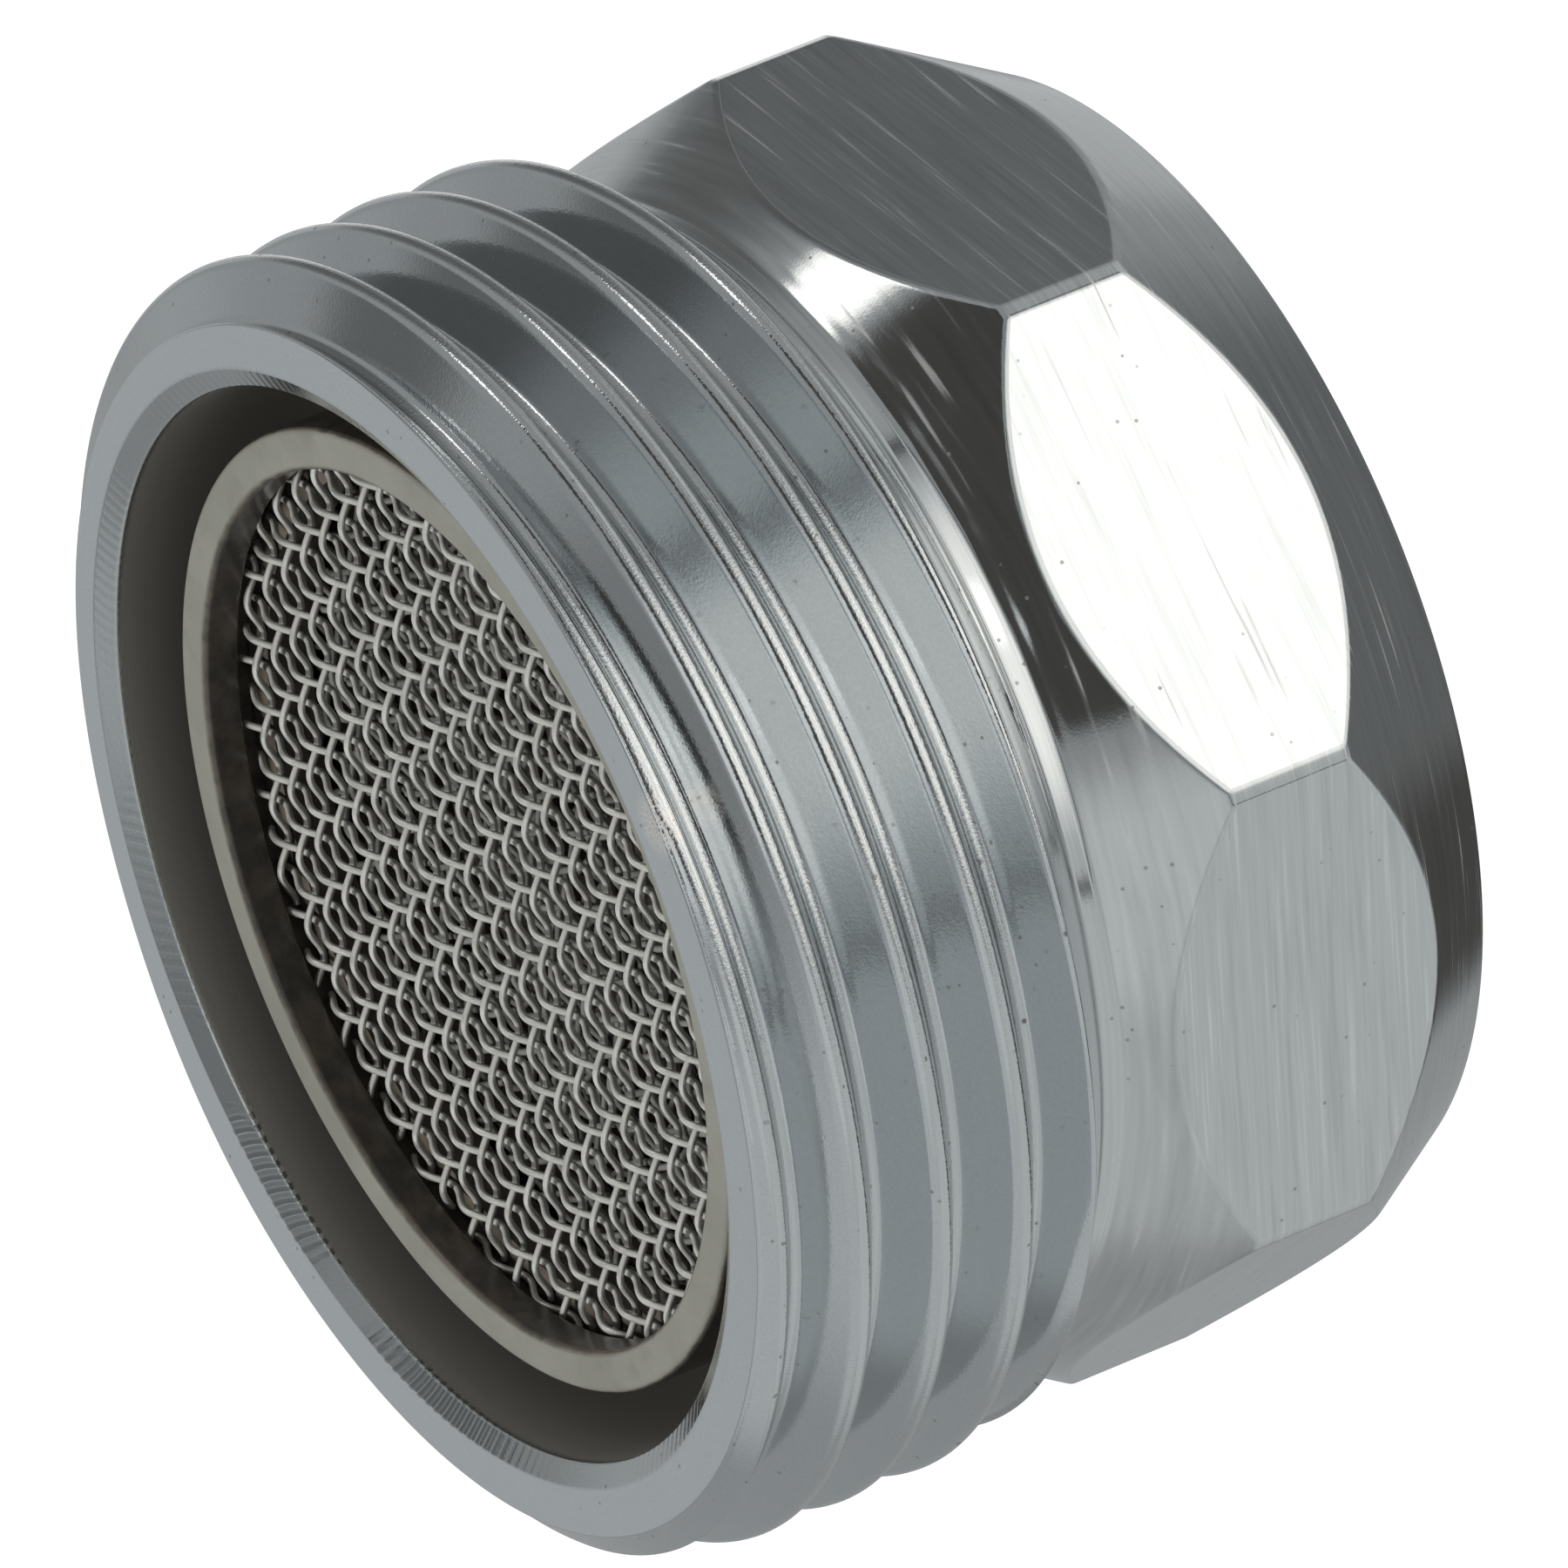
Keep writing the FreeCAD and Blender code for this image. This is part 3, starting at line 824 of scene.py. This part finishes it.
# Windows, cloths and dark screens of the light tent. Each has its azimuth and elevation, the half angles at
# which it has its full strength and none, and its light
TENT = {
    "front window": (268.0, -18.0, 12.0, 41.0, 1.3),
    "left cloth": (195.0, 5.0, 22.0, 58.0, 0.52),
    "left low cloth": (185.0, -30.0, 34.0, 50.0, 0.6),
    "left high cloth": (165.0, 42.0, 22.0, 38.0, 0.56),
    "right low cloth": (322.0, -42.0, 8.0, 22.0, 0.6),
    "front low window": (285.0, -44.0, 8.0, 20.0, 1.05),
    "left upper cloth": (216.0, 36.0, 10.0, 25.0, 0.66),
    "upper front window": (274.0, 60.0, 9.0, 24.0, 0.85),
    "roof screen": (60.0, 75.0, 8.0, 16.0, 0.26),
    "back cloth": (52.0, -12.0, 12.0, 22.0, 0.5),
    "back low cloth": (55.0, -44.0, 12.0, 22.0, 0.54),
    "back window": (57.0, -24.0, 4.0, 12.0, 0.88),
    "end cloth": (78.0, 24.0, 12.0, 24.0, 0.5),
    "right screen": (15.0, -6.0, 15.0, 33.0, 0.15),
    "right upper screen": (40.0, 44.0, 4.0, 12.0, 0.16),
    "ground screen": (180.0, -84.0, 20.0, 38.0, 0.17),
    "ground left screen": (138.0, -60.0, 8.0, 18.0, 0.08),
    "flat light": (277.0, -25.0, 4.0, 7.5, 1.74),
    "dark spot": (262.0, 36.0, 8.0, 12.0, 0.07),
    "second dark spot": (283.0, 35.0, 8.0, 12.0, 0.07),
    "third dark spot": (304.0, 33.0, 8.0, 12.0, 0.07),
    "fourth dark spot": (324.0, 28.0, 8.0, 12.0, 0.07),
    "small window": (346.0, 22.0, 4.5, 8.5, 2.0),
}
# Light of the bare cloth, and the tent's radius in metres
TENT_LIGHT = 0.36
TENT_RADIUS = 0.45
# Dark hem round the front window: its half angle, the ends of its soft edge, and its darkness
HEM_ANGLE = 42.0
HEM_EDGE = (0.4, 2.8)
HEM_DARKNESS = 0.7


def make_tent():
    """Light tent: a ball around the object, seen only in reflections, whose cloth has windows and screens.

    The light of a point in direction v is carried towards each window's own light by a soft step on the
    cosine of the angle between v and the window's direction. All of it is darkened on the hem. Dim stretches
    are warm, middling ones cool and bright ones warm again.
    """
    rows, columns = 25, 49
    up = np.linspace(0, math.pi, rows)[:, None] * np.ones(columns)
    around = np.linspace(0, math.tau, columns)
    points = polar_points(TENT_RADIUS * np.sin(up), TENT_RADIUS * np.cos(up), around)
    mesh = bpy.data.meshes.new("light_tent")
    mesh.from_pydata(points.reshape(-1, 3), [], grid_quads(rows, columns))
    f = Finish("tent_cloth")
    place = f.add("ShaderNodeTexCoord", output="Object")
    look = f.add("ShaderNodeVectorMath", {"operation": "NORMALIZE"}, {"Vector": place})

    def cosine(azimuth, elevation):
        """Cosine of the angle between the look and a direction."""
        a, e = math.radians(azimuth), math.radians(elevation)
        aim = (math.cos(a) * math.cos(e), math.sin(a) * math.cos(e), math.sin(e))
        return f.add("ShaderNodeVectorMath", {"operation": "DOT_PRODUCT"}, {0: look, 1: aim}, output="Value")

    light = TENT_LIGHT
    for azimuth, elevation, full, none, strength in TENT.values():
        ends = math.cos(math.radians(none)), math.cos(math.radians(full))
        light = (strength - light) * f.band(cosine(azimuth, elevation), *ends) + light
    off_front = f.math("ARCCOSINE", cosine(*TENT["front window"][:2])) * math.degrees(1.0)
    light = light * (1 - f.band(f.math("ABSOLUTE", off_front - HEM_ANGLE), *HEM_EDGE, HEM_DARKNESS, 0.0))
    tint = f.blend(f.band(light, 0.06, 0.2), (1.02, 1.0, 0.95), (0.965, 1.0, 1.012))
    tint = f.blend(f.band(light, 0.6, 1.1), tint, (1.0, 0.99, 0.955))
    glow = f.add("ShaderNodeVectorMath", {"operation": "SCALE"}, {"Vector": tint, "Scale": light})
    mesh.materials.append(f.glow(glow))
    return bpy.data.objects.new("light_tent", mesh)


# Screens: node, points per crossing, sides of the wire, and turn in degrees
SCREENS = (
    ("outlet_screen", 8, 8, 0.0),
    ("middle_screen", 5, 6, 27.0),
    ("inner_screen", 5, 6, 61.0),
)
# Floor and lights of the stage, in metres and watts
FLOOR_HALF_WIDTH = 2.0
FLOOR_LIGHT = 1.25
SURROUND_LIGHT = 0.15
LAMP_SIZE = 0.16
LAMP_POWER = 3.4
LAMP_PLACE = (0.02, 0.03, 0.6)
# Camera fitted to the photo: the picture's width and the focal length in pixels, the sensor's width in
# millimetres, the axes of the view and its place in metres
PICTURE_WIDTH = 1800
FOCAL_LENGTH = 36095.717
SENSOR_WIDTH = 36.0
CAMERA_RIGHT = (-0.4200290184, -0.3417809724, -0.8406910197)
CAMERA_DOWN = (-0.9003355807, 0.2731972302, 0.3387611483)
CAMERA_AHEAD = (0.1138923434, 0.8991935500, -0.4224683347)
CAMERA_PLACE = (-0.06875265556, -0.54210516242, 0.2632551685)


class ADAPTER_OT_body(bpy.types.Operator):
    """Make the turned and threaded body"""

    bl_idname = "adapter.body"
    bl_label = "Body"

    def execute(self, context):
        points = body_surface(context.scene.adapter_body)
        rows, columns = points.shape[:2]
        quads = grid_quads(rows, columns, wrap_rows=True)
        put_piece("turned_body", points, quads, ["adapter_body"], "chrome_plate")
        return {"FINISHED"}


class ADAPTER_OT_screens(bpy.types.Operator):
    """Weave the three screens"""

    bl_idname = "adapter.screens"
    bl_label = "Screens"

    def execute(self, context):
        s = context.scene.adapter_screens
        for node, per_crossing, sides, twist in SCREENS:
            low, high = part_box(node)
            rise = (high.z - low.z - s.wire) / 2
            directions = (s.weft_angle + math.radians(twist), s.warp_angle + math.radians(twist))
            points, quads = woven_cloth(s.radius, s.wire, (s.weft_pitch, s.warp_pitch), directions, rise,
                                        (low.z + high.z) / 2, per_crossing, sides)
            put_piece("woven_" + node, points, quads, [node], "steel_wire", merge=WIRE_MERGE)
        return {"FINISHED"}


class ADAPTER_OT_strainer(bpy.types.Operator):
    """Weave the strainer over its shallow dish"""

    bl_idname = "adapter.strainer"
    bl_label = "Strainer"

    def execute(self, context):
        s = context.scene.adapter_screens
        low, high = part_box("strainer_mesh")
        rise = s.strainer_wire / 2
        top = high.z - s.strainer_wire / 2 - rise
        depth = high.z - low.z - s.strainer_wire - 2 * rise
        edge, base = high.x, s.strainer_base
        base_blend, rim_blend = 0.6 * MM, 0.2 * MM

        def dish(x, y):
            """Flat base and a cone up to the rim, with soft bends."""
            reach = np.sqrt(x * x + y * y)
            cone = (reach - base) * (depth / (edge - base)) - depth
            bowl = smooth_max(cone, np.full_like(reach, -depth), base_blend)
            return smooth_min(bowl, np.zeros_like(reach), rim_blend)

        points, quads = woven_cloth(edge, s.strainer_wire, (s.strainer_pitch, s.strainer_pitch),
                                    (s.weft_angle, s.weft_angle + math.pi / 2), rise, top,
                                    per_crossing=5, sides=6, dish=dish)
        put_piece("woven_strainer", points, quads, ["strainer_mesh"], "steel_wire", merge=WIRE_MERGE)
        return {"FINISHED"}


class ADAPTER_OT_sleeve(bpy.types.Operator):
    """Make the sleeve with its soft lip and air slots"""

    bl_idname = "adapter.sleeve"
    bl_label = "Sleeve"

    def execute(self, context):
        points, quads = sleeve_surface(context.scene.adapter_sleeve)
        put_piece("soft_sleeve", points, quads, ["aerator_sleeve"], "pale_plastic")
        return {"FINISHED"}


class ADAPTER_OT_plain_pieces(bpy.types.Operator):
    """Give the solid pieces of the insert their finishes"""

    bl_idname = "adapter.plain_pieces"
    bl_label = "Insert pieces"

    def execute(self, context):
        slots = {
            "outer_spacer_ring": "pale_plastic",
            "inner_spacer_ring": "pale_plastic",
            "support_tube": "pale_plastic",
            "jet_disc": "pale_plastic",
            "strainer_frame": "pale_plastic",
            "sealing_washer": "black_rubber",
        }
        for node, slot in slots.items():
            give_finish(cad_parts[node], slot)
        return {"FINISHED"}


class ADAPTER_OT_stage(bpy.types.Operator):
    """Set up the floor, the lights and the camera"""

    bl_idname = "adapter.stage"
    bl_label = "Stage"

    def execute(self, context):
        scene = context.scene
        scene.view_settings.view_transform = "Standard"
        floor_mesh = bpy.data.meshes.new("floor")
        half = FLOOR_HALF_WIDTH
        corners = [(-half, -half, 0), (half, -half, 0), (half, half, 0), (-half, half, 0)]
        floor_mesh.from_pydata(corners, [], [(0, 1, 2, 3)])
        floor = bpy.data.objects.new("floor", floor_mesh)
        scene.collection.objects.link(floor)
        tint = (*scene.adapter_colours.floor, 1.0)
        floor_mesh.materials.append(Finish("floor_paint").glow(tint, FLOOR_LIGHT))
        floor.visible_glossy = False

        world = bpy.data.worlds.new("studio")
        world.use_nodes = True
        surround = world.node_tree.nodes["Background"].inputs
        surround["Color"].default_value = (1.0, 1.0, 1.0, 1.0)
        surround["Strength"].default_value = SURROUND_LIGHT
        scene.world = world

        tent = make_tent()
        scene.collection.objects.link(tent)
        tent.visible_camera = False
        tent.visible_diffuse = False
        tent.visible_shadow = False

        lamp = bpy.data.lights.new("overhead", "AREA")
        lamp.size = LAMP_SIZE
        lamp.energy = LAMP_POWER
        holder = bpy.data.objects.new("overhead", lamp)
        scene.collection.objects.link(holder)
        holder.location = LAMP_PLACE
        holder.visible_camera = False
        holder.visible_glossy = False

        lens = bpy.data.cameras.new("camera")
        lens.sensor_width = SENSOR_WIDTH
        lens.lens = FOCAL_LENGTH / PICTURE_WIDTH * SENSOR_WIDTH
        lens.clip_start = 10 * MM
        camera = bpy.data.objects.new("camera", lens)
        scene.collection.objects.link(camera)
        axes = zip(CAMERA_RIGHT, CAMERA_DOWN, CAMERA_AHEAD, CAMERA_PLACE)
        rows = [(right, -down, -ahead, place) for right, down, ahead, place in axes]
        camera.matrix_world = Matrix(rows + [(0, 0, 0, 1)])
        scene.camera = camera
        scene.cycles.max_bounces = 4
        scene.cycles.diffuse_bounces = 2
        return {"FINISHED"}


class ADAPTER_PT_panel(bpy.types.Panel):
    """The adapter's pieces in the sidebar"""

    bl_label = "Adapter"
    bl_idname = "ADAPTER_PT_panel"
    bl_space_type = "VIEW_3D"
    bl_region_type = "UI"
    bl_category = "Adapter"

    def draw(self, context):
        for step in STEPS:
            self.layout.operator(step.bl_idname)


GROUPS = (AdapterBodySizes, AdapterScreenSizes, AdapterSleeveSizes, AdapterFinishColours)
STEPS = (ADAPTER_OT_body, ADAPTER_OT_sleeve, ADAPTER_OT_screens, ADAPTER_OT_strainer,
         ADAPTER_OT_plain_pieces, ADAPTER_OT_stage)


def register():
    """Registers the classes and hangs the sizes and colours on the scene."""
    for item in GROUPS + STEPS + (ADAPTER_PT_panel,):
        bpy.utils.register_class(item)
    bpy.types.Scene.adapter_body = PointerProperty(type=AdapterBodySizes)
    bpy.types.Scene.adapter_screens = PointerProperty(type=AdapterScreenSizes)
    bpy.types.Scene.adapter_sleeve = PointerProperty(type=AdapterSleeveSizes)
    bpy.types.Scene.adapter_colours = PointerProperty(type=AdapterFinishColours)


def unregister():
    """Takes away what register() added."""
    del bpy.types.Scene.adapter_colours
    del bpy.types.Scene.adapter_sleeve
    del bpy.types.Scene.adapter_screens
    del bpy.types.Scene.adapter_body
    for item in reversed(GROUPS + STEPS + (ADAPTER_PT_panel,)):
        bpy.utils.unregister_class(item)


def main():
    """Makes every piece and the stage."""
    register()
    bpy.ops.adapter.body()
    bpy.ops.adapter.sleeve()
    bpy.ops.adapter.screens()
    bpy.ops.adapter.strainer()
    bpy.ops.adapter.plain_pieces()
    bpy.ops.adapter.stage()
    bpy.context.view_layer.update()


if __name__ == "__main__":
    main()
